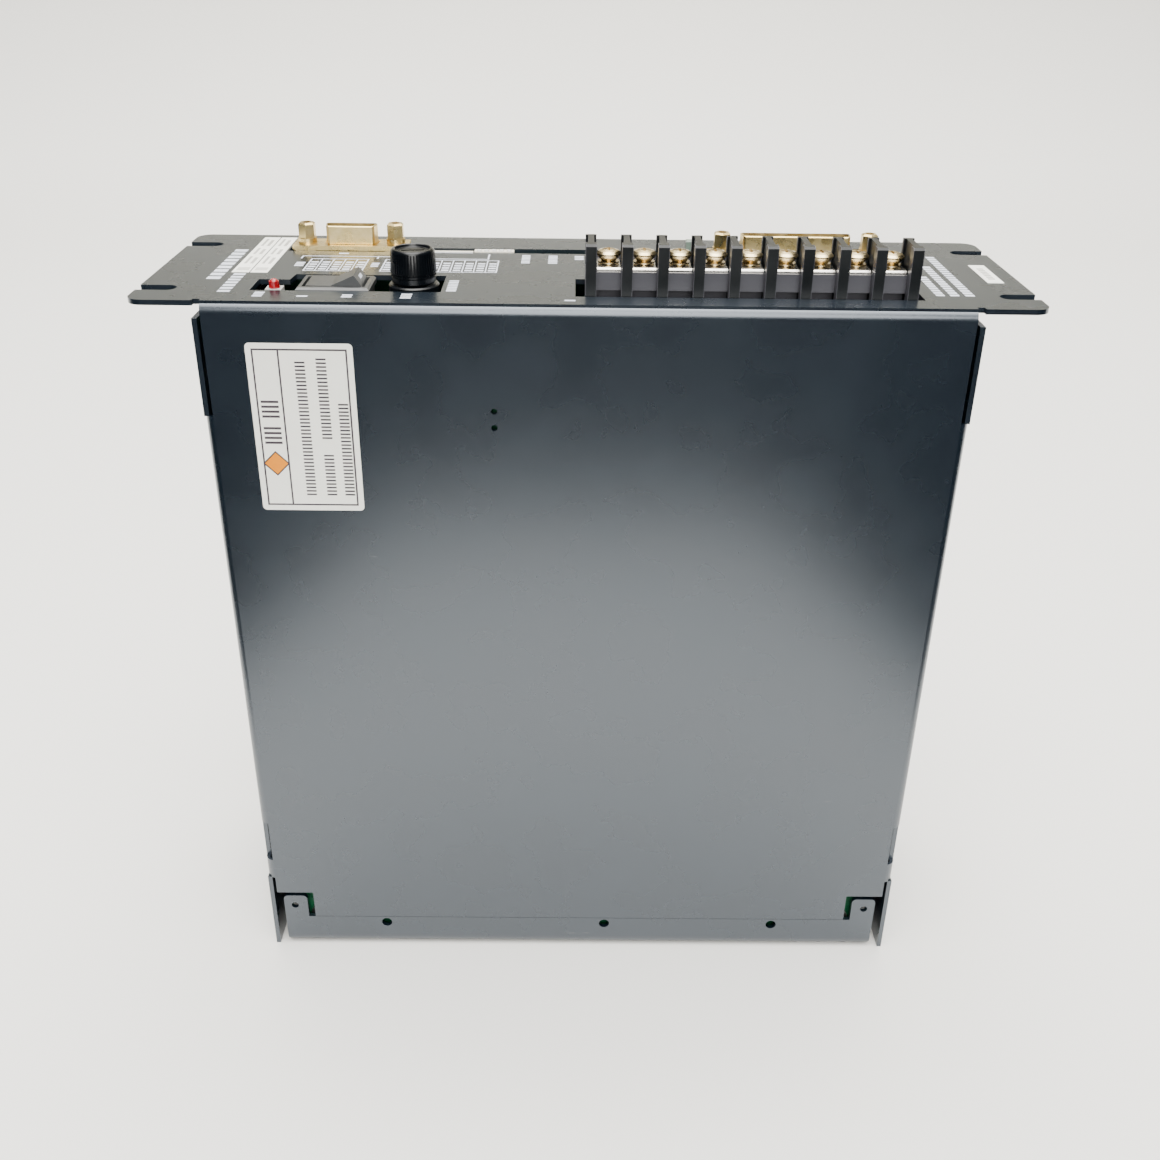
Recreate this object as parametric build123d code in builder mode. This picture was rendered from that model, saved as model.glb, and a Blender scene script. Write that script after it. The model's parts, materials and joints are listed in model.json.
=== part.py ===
from build123d import *
import math
import os

# Stepper driver module: a flat sheet-metal case that stands on its rear end, front panel up.
# X runs along the panel, Y from the open side plate to the chassis plate, Z up to the panel.
# Lengths are in millimetres. "depth" is a distance from the side plate's outer face.

os.makedirs("parts", exist_ok=True)

# ---------------------------------------------------------------- driving dimensions
body_width = 220.0
panel_length = 256.0
thickness = 81.0
height = 236.0
sheet = 1.5
bend_radius = 3.2
board_sheet = 1.6
fit_gap = 0.3
label_sheet = 0.12

# front panel
ear_slot_width = 5.3
ear_slot_inner = 117.0
ear_slot_depths = (14.0, 67.0)
ear_corner = 4.5
service_cutout = (-96.0, -42.1, 12.2, 30.4)
service_step = (-87.0, 24.2)
terminal_cutout = (-4.0, 94.6, 9.2, 28.4)
connector_slot = (-94.6, 96.0, 59.4, 65.2)
flange_depths = (60.0, 70.2)
flange_rise = {"small": 1.5, "large": -0.1}

# side plate and side walls
plate_edge = 107.3
plate_bottom = 13.4
corner_notch = (94.6, 24.3)
bend_zones = ((31.0, 39.0), (55.0, height - 33.5))
wall_top = height - 5.0
vent_rows = 18
vent_pitch = 9.0
vent_first = 48.0
vent_size = (38.0, 3.2)

# boards
power_board_depth = 5.0
power_board_top = 219.0
control_board_depth = 58.3
control_board_bottom = 100.0
io_board_top = height - 12.4
pillar_flat = 5.5

# screws and pillars
head_radius = 2.75
head_height = 1.7
head_cone = 1.3
cross_width = 0.6
cross_length = 2.8
pillar_x = 94.0
low_pillar_z = 12.0
board_pillar_z = (108.0, 205.0)
back_screws = [(x, z) for x in (-pillar_x, pillar_x) for z in (low_pillar_z, *board_pillar_z)]
back_screws += [(x, z) for x in (-70.0, 0.0, 70.0) for z in (32.0, 88.0)]

# terminal block
pole_count = 9
pole_pitch = 10.08
first_barrier = 0.3
barrier_top = height + 14.35
barrier_front = 9.6
barrier_back = 22.9
base_top = height + 6.0
base_step = height + 0.9
base_front = 13.0
base_back = 27.6
plate_top = height + 7.15
screw_depth = 19.0
screw_shank = 1.75
thread_clearance = 0.05
barrier_x = [first_barrier + pole_pitch * index for index in range(pole_count + 1)]
pole_x = [first_barrier + pole_pitch * (index + 0.5) for index in range(pole_count)]

# fuse holder, rocker switch, connectors
fuse_axis = (-50.5, 20.5)
fuse_radius = 2.6
rocker_axis = (-72.95, 20.6, height - 2.7)
rocker_radius = 8.6
rocker_tilt = 12.0
jack_spread = {"small": 28.05, "large": 47.1}
jack_centre = {"small": -75.3, "large": 66.3}
contact_columns = {"small": 10, "large": 25}
shell_width = {"small": 16.7, "large": 35.6}
connector_depth = 64.9
contact_pitch = 1.27


def y_at(depth):
    """Y of a depth measured from the side plate's outer face."""
    return depth - thickness / 2


def block(x_low, x_high, depth_low, depth_high, z_low, z_high, mode=Mode.ADD):
    """Box between two corners, with Y given as depths."""
    centre = ((x_low + x_high) / 2, y_at((depth_low + depth_high) / 2), (z_low + z_high) / 2)
    with Locations(centre):
        Box(x_high - x_low, depth_high - depth_low, z_high - z_low, mode=mode)


def rod_z(x, depth, radius, z_low, z_high, mode=Mode.ADD):
    """Round bar along Z."""
    with Locations((x, y_at(depth), (z_low + z_high) / 2)):
        Cylinder(radius, z_high - z_low, mode=mode)


def rod_y(x, z, radius, depth_low, depth_high, mode=Mode.ADD):
    """Round bar along Y."""
    with Locations(Location((x, y_at((depth_low + depth_high) / 2), z), (90, 0, 0))):
        Cylinder(radius, depth_high - depth_low, mode=mode)


def rod_x(depth, z, radius, x_low, x_high, mode=Mode.ADD):
    """Round bar along X."""
    with Locations(Location(((x_low + x_high) / 2, y_at(depth), z), (0, 90, 0))):
        Cylinder(radius, x_high - x_low, mode=mode)


def countersink(x, z, clearance, mode=Mode.ADD):
    """Conical screw seat in the chassis plate's outer face."""
    with Locations(Location((x, y_at(thickness - head_cone / 2), z), (90, 0, 0))):
        Cone(head_radius + clearance, 1.45 + clearance, head_cone, mode=mode)


def finish(builder, name):
    """Label a finished piece and write its STEP file."""
    builder.part.label = name
    export_step(builder.part, f"parts/{name}.step")


# ---------------------------------------------------------------- cover
near = y_at(0)
far = y_at(thickness)
half_width = body_width / 2

with BuildPart() as cover:
    # front panel and side plate, one L-shaped bend
    with BuildSketch(Plane.YZ.offset(-plate_edge)):
        with BuildLine():
            Polyline(
                (near, plate_bottom), (near, height), (far, height), (far, height - sheet),
                (near + sheet, height - sheet), (near + sheet, plate_bottom), close=True,
            )
        make_face()
        bend = vertices().group_by(Axis.Y)[-1].sort_by(Axis.X)[0]
        fillet(bend, bend_radius)
        inner_bend = vertices().filter_by_position(Axis.X, near + 1, near + 2).sort_by(Axis.Y)[-1]
        fillet(inner_bend, bend_radius - sheet)
    extrude(amount=2 * plate_edge)
    # mounting ears
    with BuildSketch(Plane.XY.offset(height - sheet)):
        with Locations((0, y_at((1 + thickness) / 2))):
            RectangleRounded(panel_length, thickness - 1, ear_corner)
    extrude(amount=sheet)
    for side in (-1, 1):
        # side wall, its bends and the free tabs above and below them
        wall = sorted((side * half_width, side * (half_width - sheet)))
        block(wall[0], wall[1], bend_radius, thickness, 0, wall_top)
        for tab_low, tab_high in ((0, bend_zones[0][0]), (bend_zones[1][1], wall_top)):
            block(wall[0], wall[1], 0.6, bend_radius, tab_low, tab_high)
        for zone_low, zone_high in bend_zones:
            with BuildSketch(Plane.XY.offset(zone_low)):
                with BuildLine():
                    Polyline(
                        (side * 100, near), (side * half_width, near),
                        (side * half_width, near + 6), (side * (half_width - sheet), near + 6),
                        (side * (half_width - sheet), near + sheet), (side * 100, near + sheet),
                        close=True,
                    )
                make_face()
                edge_corner = vertices().sort_by(Axis.Y)[:2].sort_by(Axis.X)[0 if side < 0 else -1]
                fillet(edge_corner, bend_radius)
            extrude(amount=zone_high - zone_low)
        # relief notch where the panel's bend meets the ear
        notch = sorted((side * plate_edge, side * (plate_edge + 2.1)))
        block(notch[0], notch[1], 0, 2.6, height - 4, height + 1, mode=Mode.SUBTRACT)
        # corner notch of the side plate
        corner = sorted((side * corner_notch[0], side * (plate_edge + 0.1)))
        block(corner[0], corner[1], -1, 2, plate_bottom - 1, corner_notch[1], mode=Mode.SUBTRACT)
        # ear slots, open at the panel's ends
        for slot_depth in ear_slot_depths:
            inner = ear_slot_inner + ear_slot_width / 2
            rod_z(side * inner, slot_depth, ear_slot_width / 2, height - 3, height + 1,
                  mode=Mode.SUBTRACT)
            slot = sorted((side * inner, side * (panel_length / 2 + 1)))
            block(slot[0], slot[1], slot_depth - ear_slot_width / 2,
                  slot_depth + ear_slot_width / 2, height - 3, height + 1, mode=Mode.SUBTRACT)
        # ventilation slots and the cover screws' holes
        with BuildSketch(Plane.YZ.offset(side * (half_width - 3))):
            with Locations(*[(y_at(32), vent_first + vent_pitch * row)
                             for row in range(vent_rows)]):
                SlotOverall(*vent_size)
        extrude(amount=side * 6, mode=Mode.SUBTRACT)
        for screw_z in (30.0, 190.0):
            rod_x(72, screw_z, 1.7, side * half_width - 3, side * half_width + 3,
                  mode=Mode.SUBTRACT)
    # panel cut-outs
    x0, x1, d0, d1 = service_cutout
    with BuildSketch(Plane.XY.offset(height - 3)):
        with BuildLine():
            Polyline(
                (x0, y_at(d0)), (x1, y_at(d0)), (x1, y_at(d1)), (service_step[0] + 0.6, y_at(d1)),
                (service_step[0], y_at(service_step[1])), (x0, y_at(service_step[1])), close=True,
            )
        make_face()
    extrude(amount=5, mode=Mode.SUBTRACT)
    for x0, x1, d0, d1 in (terminal_cutout, connector_slot):
        block(x0, x1, d0, d1, height - 3, height + 1, mode=Mode.SUBTRACT)
    # room for the connectors' bodies, and for the large one's flange
    small_reach = jack_spread["small"] / 2 + 3.4
    block(jack_centre["small"] - small_reach, jack_centre["small"] + small_reach, 60.6, 69.6,
          height - 3, height + 1, mode=Mode.SUBTRACT)
    large_reach = jack_spread["large"] / 2 + 4.6
    block(jack_centre["large"] - large_reach, jack_centre["large"] + large_reach,
          flange_depths[0] - 0.3, flange_depths[1] + 0.3, height - 3, height + 1,
          mode=Mode.SUBTRACT)
    for hole_z in (height - 31, height - 36):
        rod_y(-26.9, hole_z, 0.9, -1, 3, mode=Mode.SUBTRACT)
finish(cover, "cover")

# ---------------------------------------------------------------- chassis
chassis_edge = half_width - sheet - fit_gap
lip_edge = 105.3
chassis_top = height - sheet - fit_gap
flange_inner = chassis_edge - sheet

with BuildPart() as chassis:
    # rear-end floor with its lip, folded from the chassis plate
    with BuildSketch(Plane.YZ.offset(-lip_edge)):
        with BuildLine():
            Polyline(
                (near + 0.2, plate_bottom - 0.3), (near + 0.2, 0), (far, 0), (far, 40),
                (far - sheet, 40), (far - sheet, sheet), (near + 0.2 + sheet, sheet),
                (near + 0.2 + sheet, plate_bottom - 0.3), close=True,
            )
        make_face()
        low_corners = vertices().group_by(Axis.Y)[0].sort_by(Axis.X)
        fillet(low_corners[0], 4.5)
        fillet(low_corners[1], bend_radius)
        inner_corners = vertices().filter_by_position(Axis.Y, sheet - 0.1, sheet + 0.1)
        fillet(inner_corners.sort_by(Axis.X)[0], 3.0)
    extrude(amount=2 * lip_edge)
    block(-chassis_edge, chassis_edge, thickness - sheet, thickness, 8, chassis_top)
    # flanges behind the side walls and under the panel
    for side in (-1, 1):
        flange = sorted((side * flange_inner, side * chassis_edge))
        block(flange[0], flange[1], 64, thickness, 8, chassis_top - 12)
        tab = sorted((side * 97.0, side * lip_edge))
        block(tab[0], tab[1], 0.2, 0.2 + sheet, plate_bottom - 1, 22.7)
        rod_y(side * 101.5, 18.3, 1.25, -1, 3, mode=Mode.SUBTRACT)
        for screw_z in (30.0, 190.0):
            rod_x(72, screw_z, 1.45, side * chassis_edge - 3, side * chassis_edge + 3,
                  mode=Mode.SUBTRACT)
    block(-80, 80, 71, thickness, chassis_top - sheet, chassis_top)
    tab_corners = chassis.edges().filter_by(Axis.Y).filter_by_position(Axis.Z, 22.6, 22.8)
    fillet(tab_corners, 1.6)
    for side in (-1, 1):
        with BuildSketch(Plane.XZ.offset(-near + 1)):
            with BuildLine():
                Polyline((side * (lip_edge - 3), -1), (side * (lip_edge + 1), -1),
                         (side * (lip_edge + 1), 3), (side * lip_edge, 3))
                ThreePointArc((side * lip_edge, 3), (side * (lip_edge - 0.88), 0.88),
                              (side * (lip_edge - 3), 0))
                Line((side * (lip_edge - 3), 0), (side * (lip_edge - 3), -1))
            make_face()
        extrude(amount=-8, mode=Mode.SUBTRACT)
    # holes in the lip and for the pillars' screws
    for hole_x in (-69.3, 8.7, 68.8):
        rod_y(hole_x, 10.6, 1.8, -1, 3, mode=Mode.SUBTRACT)
    for hole_x, hole_z in back_screws:
        countersink(hole_x, hole_z, 0.05, mode=Mode.SUBTRACT)
        rod_y(hole_x, hole_z, 1.6, thickness - 3, thickness + 1, mode=Mode.SUBTRACT)
finish(chassis, "chassis")

# ---------------------------------------------------------------- labels
with BuildPart() as side_label:
    with BuildSketch(Plane.XZ.offset(-near)):
        with Locations((-81.0, height - 37.0)):
            RectangleRounded(30.0, 51.0, 1.2)
    extrude(amount=label_sheet)
finish(side_label, "side_label")

with BuildPart() as panel_labels:
    for x_low, x_high in ((-105.8, -100.7), (-100.3, -95.2)):
        block(x_low, x_high, 31.7, 77, height, height + label_sheet)
    block(118, 122.9, 29.2, 50.4, height, height + label_sheet)
finish(panel_labels, "panel_labels")

# ---------------------------------------------------------------- circuit boards
power_top_face = power_board_depth + board_sheet
control_far_face = control_board_depth + board_sheet

with BuildPart() as power_board:
    block(-100, 100, power_board_depth, power_top_face, 4, power_board_top)
    for hole_x in (-pillar_x, pillar_x):
        for hole_z in (low_pillar_z, *board_pillar_z):
            rod_y(hole_x, hole_z, 1.6, power_board_depth - 1, power_top_face + 1,
                  mode=Mode.SUBTRACT)
finish(power_board, "power_board")

with BuildPart() as control_board:
    block(-98.5, 97.5, control_board_depth, control_far_face, control_board_bottom,
          height - sheet - fit_gap)
    for hole_x in (-pillar_x, pillar_x):
        for hole_z in board_pillar_z:
            rod_y(hole_x, hole_z, 1.6, control_board_depth - 1, control_far_face + 1,
                  mode=Mode.SUBTRACT)
finish(control_board, "control_board")

with BuildPart() as io_board:
    block(-100, 100, 8.5, 50, io_board_top - board_sheet, io_board_top)
    rod_z(fuse_axis[0], fuse_axis[1], 6.5, io_board_top - 3, io_board_top + 1,
          mode=Mode.SUBTRACT)
    for hole_x in (-96.0, 96.0):
        for hole_depth in (40.0, 46.0):
            rod_z(hole_x, hole_depth, 1.3, io_board_top - 3, io_board_top + 1,
                  mode=Mode.SUBTRACT)
    # slots for the terminals' solder tails
    for x in pole_x:
        block(x - 1.6, x + 1.6, 24.3, 25.5, io_board_top - 3, io_board_top + 1,
              mode=Mode.SUBTRACT)
finish(io_board, "io_board")

with BuildPart() as board_brackets:
    for side in (-1, 1):
        leg = sorted((side * (half_width - sheet), side * (half_width - sheet - 1.2)))
        foot = sorted((side * (half_width - sheet), side * 91))
        bracket_top = io_board_top - board_sheet
        block(leg[0], leg[1], 36, 50, bracket_top - 12, bracket_top)
        block(foot[0], foot[1], 36, 50, bracket_top - 1.2, bracket_top)
        for hole_depth in (40.0, 46.0):
            rod_z(side * 96, hole_depth, 1.3, bracket_top - 3, bracket_top + 1,
                  mode=Mode.SUBTRACT)
finish(board_brackets, "board_brackets")

def pillar_holes(x, z, depth_low, depth_high):
    """Screw holes in both ends of a pillar along Y."""
    for end_low, end_high in ((depth_low - 1, depth_low + 7), (depth_high - 7, depth_high + 1)):
        rod_y(x, z, 1.5, end_low, end_high, mode=Mode.SUBTRACT)


with BuildPart() as board_pillars:
    with BuildSketch(Plane.XZ.offset(-y_at(power_top_face))):
        with Locations(*[(x, z) for x in (-pillar_x, pillar_x) for z in board_pillar_z]):
            RegularPolygon(pillar_flat / 2, 6, major_radius=False)
    extrude(amount=power_top_face - control_board_depth)
    for hole_x in (-pillar_x, pillar_x):
        for hole_z in board_pillar_z:
            pillar_holes(hole_x, hole_z, power_top_face, control_board_depth)
            rod_y(hole_x, hole_z, 1.45, control_board_depth - 8, control_far_face + 5)
finish(board_pillars, "board_pillars")

with BuildPart() as chassis_pillars:
    chassis_inside = thickness - sheet
    with BuildSketch(Plane.XZ.offset(-y_at(power_top_face))):
        with Locations((-pillar_x, low_pillar_z), (pillar_x, low_pillar_z)):
            RegularPolygon(pillar_flat / 2, 6, major_radius=False)
    extrude(amount=power_top_face - chassis_inside)
    with BuildSketch(Plane.XZ.offset(-y_at(control_far_face))):
        with Locations(*[(x, z) for x in (-pillar_x, pillar_x) for z in board_pillar_z]):
            RegularPolygon(pillar_flat / 2, 6, major_radius=False)
    extrude(amount=control_far_face - chassis_inside)
    for hole_x in (-pillar_x, pillar_x):
        pillar_holes(hole_x, low_pillar_z, power_top_face, chassis_inside)
        for hole_z in board_pillar_z:
            pillar_holes(hole_x, hole_z, control_far_face, chassis_inside)
finish(chassis_pillars, "chassis_pillars")

# ---------------------------------------------------------------- terminal block
tail_bottom = io_board_top - 3.2

with BuildPart() as terminal_block:
    block(barrier_x[0] - 1.55, barrier_x[-1] + 1.55, base_front, base_back, base_step, base_top)
    block(barrier_x[0] - 1.55, barrier_x[-1] + 1.55, base_front + 3, base_back, io_board_top,
          base_step)
    for x in barrier_x:
        block(x - 1.55, x + 1.55, barrier_front, 12.8, io_board_top, barrier_top)
        block(x - 0.85, x + 0.85, barrier_front + 1, barrier_back, io_board_top, barrier_top)
        block(x - 1.55, x + 1.55, barrier_back - 1.1, barrier_back, io_board_top, barrier_top)
    post_edges = terminal_block.edges().filter_by(Axis.X).group_by(Axis.Z)[-1]
    front_post_edges = post_edges.group_by(Axis.Y)[0]
    chamfer(front_post_edges, 0.6)
    block(barrier_x[0] - 1.55, barrier_x[-1] + 1.55, 25.4, base_back, base_top - 1,
          base_top + 2.4)
    for x in pole_x:
        rod_z(x, screw_depth, screw_shank + 0.35, io_board_top + 1.5, base_top + 1,
              mode=Mode.SUBTRACT)
        block(x - 1.5, x + 1.5, 24.4, 25.4, io_board_top - 1, base_top + 3,
              mode=Mode.SUBTRACT)
finish(terminal_block, "terminal_block")

with BuildPart() as terminal_plates:
    for x in pole_x:
        block(x - 3.3, x + 3.3, 13.4, 25.4, base_top, plate_top)
        block(x - 1.5, x + 1.5, 24.4, 25.4, tail_bottom, plate_top)
        rod_z(x, screw_depth, screw_shank + thread_clearance, base_top - 1, plate_top + 1,
              mode=Mode.SUBTRACT)
    front_edges = terminal_plates.edges().filter_by(Axis.X).filter_by_position(
        Axis.Z, plate_top - 0.05, plate_top + 0.05).group_by(Axis.Y)[0]
    fillet(front_edges, 0.6)
finish(terminal_plates, "terminal_plates")

washer_bottom = plate_top + 0.35
head_bottom = washer_bottom + 0.5
head_rim = head_bottom + 1.8
head_top = head_rim + 1.4


def terminal_screw(x):
    """Screw with a cross recess and its captive washer, backed off a little."""
    with BuildPart() as screw:
        with BuildSketch(Plane.XZ.offset(-y_at(screw_depth))):
            with BuildLine():
                Polyline(
                    (x, base_top - 5), (x + screw_shank, base_top - 4.5),
                    (x + screw_shank, head_bottom), (x + 2.1, head_bottom),
                    (x + 3.5, head_rim), (x + 3.5, head_rim + 0.35), (x + 2.9, head_rim + 1.0),
                    (x + 1.6, head_top), (x, head_top), close=True,
                )
            make_face()
        revolve(axis=Axis((x, y_at(screw_depth), 0), (0, 0, 1)))
        with Locations((x, y_at(screw_depth), head_top)):
            Box(3.8, 0.8, 2.4, mode=Mode.SUBTRACT)
            Box(0.8, 3.8, 2.4, mode=Mode.SUBTRACT)
    with BuildPart() as washer:
        rod_z(x, screw_depth, 3.0, washer_bottom, washer_bottom + 0.4)
        rod_z(x, screw_depth, screw_shank + 0.05, washer_bottom - 1, washer_bottom + 3,
              mode=Mode.SUBTRACT)
    with BuildPart() as assembly:
        add(screw.part)
        add(washer.part)
    return assembly


for index, x in enumerate(pole_x):
    finish(terminal_screw(x), f"terminal_screw_{index + 1}")

# ---------------------------------------------------------------- fuse holder
fuse_x, fuse_depth = fuse_axis
collar_top = height + 0.5
cap_bottom = collar_top + 0.3
cap_top = height + 10.5
fuse_top = height - 3.1
fuse_length = 20.0


def turned(profile):
    """Solid of revolution about the fuse axis from (radius, z) points."""
    with BuildPart() as solid:
        with BuildSketch(Plane.XZ.offset(-y_at(fuse_depth))):
            with BuildLine():
                Polyline([(fuse_x + r, z) for r, z in profile], close=True)
            make_face()
        revolve(axis=Axis((fuse_x, y_at(fuse_depth), 0), (0, 0, 1)))
    return solid


fuse_holder = turned([
    (0, height - 34), (6.2, height - 34), (6.2, height - 3.2), (7.25, height - 3.2),
    (7.25, collar_top - 0.4), (6.9, collar_top), (4.0, collar_top), (4.0, height - 30),
    (0, height - 30),
])
finish(fuse_holder, "fuse_holder")

fuse_contact = turned([
    (0, height - 30), (3.6, height - 30), (3.6, height - 29), (1.6, height - 27),
    (1.6, height - 23.6), (0, height - 23.6),
])
finish(fuse_contact, "fuse_contact")

fuse = turned([
    (0, fuse_top - fuse_length), (fuse_radius, fuse_top - fuse_length), (fuse_radius, fuse_top),
    (0, fuse_top),
])
finish(fuse, "fuse")

fuse_cap = turned([
    (fuse_radius + 0.08, height - 8), (3.6, height - 8), (3.6, cap_bottom), (5.9, cap_bottom),
    (6.3, cap_bottom + 0.4), (6.35, cap_bottom + 2.0), (6.6, cap_bottom + 2.1),
    (6.6, cap_bottom + 2.6), (6.4, cap_bottom + 2.7), (6.65, cap_bottom + 3.0),
    (6.3, cap_top - 0.8), (5.8, cap_top), (5.1, cap_top), (4.9, cap_top - 0.7),
    (0, cap_top - 0.7), (0, height - 2.8), (fuse_radius + 0.08, height - 2.8),
])
with BuildPart() as slotted_cap:
    add(fuse_cap.part)
    with Locations((fuse_x, y_at(fuse_depth), cap_top - 0.7)):
        Box(7.0, 1.2, 1.6, mode=Mode.SUBTRACT)
finish(slotted_cap, "fuse_cap")

# ---------------------------------------------------------------- rocker switch
rocker_x, rocker_depth, rocker_z = rocker_axis
bezel_top = height + 0.5
opening_half = rocker_radius + 0.35
rocker_half_depth = 5.25

with BuildPart() as switch_housing:
    block(rocker_x - 10.45, rocker_x + 10.45, rocker_depth - 7.5, rocker_depth + 7.5,
          bezel_top - 2.0, bezel_top)
    bezel_edges = switch_housing.edges().group_by(Axis.Z)[-1]
    chamfer(bezel_edges, 0.6)
    block(rocker_x - 9.9, rocker_x + 9.9, rocker_depth - 6.6, rocker_depth + 6.6, io_board_top,
          bezel_top - 1.9)
    block(rocker_x - opening_half, rocker_x + opening_half, rocker_depth - 5.6,
          rocker_depth + 5.6, height - 8.6, bezel_top + 1, mode=Mode.SUBTRACT)
    rod_y(rocker_x, rocker_z, 1.06, rocker_depth - 6.5, rocker_depth + 6.5, mode=Mode.SUBTRACT)
finish(switch_housing, "switch_housing")

tilt = math.radians(-rocker_tilt)


def tilted(x, z):
    """Point of the rocker's outline about its pivot, turned to the pressed position."""
    turned_x = x * math.cos(tilt) + z * math.sin(tilt)
    turned_z = -x * math.sin(tilt) + z * math.cos(tilt)
    return (rocker_x + turned_x, rocker_z + turned_z)


end_height = 4.9
end_x = math.sqrt(rocker_radius ** 2 - end_height ** 2)
foot_height = -1.4
foot_x = math.sqrt(rocker_radius ** 2 - foot_height ** 2)

with BuildPart() as switch_rocker:
    with BuildSketch(Plane.XZ.offset(-y_at(rocker_depth - rocker_half_depth))):
        with BuildLine():
            Polyline(tilted(-end_x, end_height), tilted(0, 3.4), tilted(end_x, end_height))
            ThreePointArc(tilted(end_x, end_height), tilted(rocker_radius, 0),
                          tilted(foot_x, foot_height))
            Polyline(tilted(foot_x, foot_height), tilted(2.2, -3.0), tilted(-2.2, -3.0),
                     tilted(-foot_x, foot_height))
            ThreePointArc(tilted(-foot_x, foot_height), tilted(-rocker_radius, 0),
                          tilted(-end_x, end_height))
        make_face()
    extrude(amount=-2 * rocker_half_depth)
    rod_y(rocker_x, rocker_z, 1.0, rocker_depth - 6.3, rocker_depth + 6.3)
finish(switch_rocker, "switch_rocker")

# ---------------------------------------------------------------- power light
led_x, led_depth = -89.5, 14.9
with BuildPart() as led_holder:
    block(led_x - 2.3, led_x + 2.3, led_depth - 2.2, led_depth + 2.2, io_board_top,
          height + 0.1)
    rod_z(led_x, led_depth, 1.1, io_board_top + 1, height + 1, mode=Mode.SUBTRACT)
finish(led_holder, "led_holder")

with BuildPart() as power_led:
    rod_z(led_x, led_depth, 1.65, height + 0.1, height + 0.6)
    rod_z(led_x, led_depth, 1.45, height + 0.6, height + 2.0)
    with Locations((led_x, y_at(led_depth), height + 2.0)):
        Sphere(1.45, arc_size1=0, arc_size2=90)
finish(power_led, "power_led")

# ---------------------------------------------------------------- option switch bank
dip_low, dip_high = -36.0, -23.5
dip_centre_depth = 61.5
slider_pitch = 2.35
slider_x = [(dip_low + dip_high) / 2 + slider_pitch * (index - 2) for index in range(5)]
dip_top = height + 0.3

with BuildPart() as dip_switch:
    block(dip_low, dip_high, control_far_face, control_far_face + 3.2, height - 7.5, dip_top)
    for x in slider_x:
        block(x - 0.75, x + 0.75, dip_centre_depth - 1.15, dip_centre_depth + 1.15,
              dip_top - 1.6, dip_top + 1, mode=Mode.SUBTRACT)
    # unused option socket beside the switches
    block(dip_low - 20.4, dip_low - 0.4, control_far_face, control_far_face + 1.6, height - 6,
          height + 0.1)
finish(dip_switch, "dip_switch")

for index, x in enumerate(slider_x):
    with BuildPart() as dip_slider:
        block(x - 0.6, x + 0.6, dip_centre_depth - 1.05, dip_centre_depth - 0.05,
              dip_top - 1.45, dip_top + 0.4)
    finish(dip_slider, f"dip_slider_{index + 1}")

# ---------------------------------------------------------------- panel connectors
shell_half_depth = 2.7
shell_rise = 5.7
shell_wall = 0.5
flange_sheet = 1.5
tongue_depth = 0.8
jack_rise = 6.35
jack_flat = 4.9


def shell_outline(width, inset):
    """Trapezoid outline of a connector, wider at its far side, shrunk by inset."""
    half = width / 2 - inset
    reach = shell_half_depth - inset
    return [(-half + 0.9, -reach), (half - 0.9, -reach), (half, reach), (-half, reach)]


def flange_top(name):
    """Height of a connector's flange; the large one sits inside the panel's cut-out."""
    return height + flange_rise[name]


def connector(name):
    """Shell with flange and insulator of one panel connector."""
    centre = jack_centre[name]
    spread = jack_spread[name]
    width = shell_width[name]
    top = flange_top(name)
    bottom = top - flange_sheet
    origin_y = y_at(connector_depth)

    with BuildPart() as shell:
        block(centre - spread / 2 - 4.2, centre + spread / 2 + 4.2, flange_depths[0],
              flange_depths[1], bottom, top)
        flange_edges = shell.edges().filter_by(Axis.Z)
        fillet(flange_edges, 0.8)
        # dished ring around the root of the shell
        with BuildSketch(Plane((centre, origin_y, top - 0.5))):
            with BuildLine():
                Polyline(shell_outline(width, -0.5), close=True)
            make_face()
        extrude(amount=1, mode=Mode.SUBTRACT)
        with BuildSketch(Plane((centre, origin_y, bottom))):
            with BuildLine():
                Polyline(shell_outline(width, 0), close=True)
            make_face()
            fillet(vertices(), 1.0)
        extrude(amount=flange_sheet + shell_rise)
        rim = shell.faces().sort_by(Axis.Z)[-1].edges()
        fillet(rim, 0.4)
        with BuildSketch(Plane((centre, origin_y, bottom - 1))):
            with BuildLine():
                Polyline(shell_outline(width, shell_wall), close=True)
            make_face()
            fillet(vertices(), 0.6)
        extrude(amount=flange_sheet + shell_rise + 2, mode=Mode.SUBTRACT)
        for side in (-1, 1):
            rod_z(centre + side * spread / 2, connector_depth, 1.5, bottom - 1, top + 1,
                  mode=Mode.SUBTRACT)

    with BuildPart() as insulator:
        block(centre - width / 2 - 1.5, centre + width / 2 + 1.5, connector_depth - 3.6,
              connector_depth + 3.4, bottom - 9, bottom)
        with BuildSketch(Plane((centre, origin_y, bottom))):
            with BuildLine():
                Polyline(shell_outline(width, shell_wall), close=True)
            make_face()
            fillet(vertices(), 0.6)
        extrude(amount=1.6)
        tongue_half = contact_pitch * contact_columns[name] / 2 + 0.2
        block(centre - tongue_half, centre + tongue_half, connector_depth - tongue_depth,
              connector_depth + tongue_depth, bottom + 1, top + 4.6)

    finish(shell, f"{name}_connector_shell")
    finish(insulator, f"{name}_connector_insulator")


connector("small")
connector("large")

with BuildPart() as connector_contacts:
    for name, columns in contact_columns.items():
        for column in range(columns):
            contact_x = jack_centre[name] + contact_pitch * (column - (columns - 1) / 2)
            for face in (-1, 1):
                strip = sorted((connector_depth + face * tongue_depth,
                                connector_depth + face * (tongue_depth + 0.22)))
                block(contact_x - 0.3, contact_x + 0.3, strip[0], strip[1],
                      flange_top(name) + 0.1, flange_top(name) + 4.3)
finish(connector_contacts, "connector_contacts")

jack_places = [(jack_centre[name] + side * jack_spread[name] / 2, flange_top(name))
               for name in ("small", "large") for side in (-1, 1)]

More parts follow.
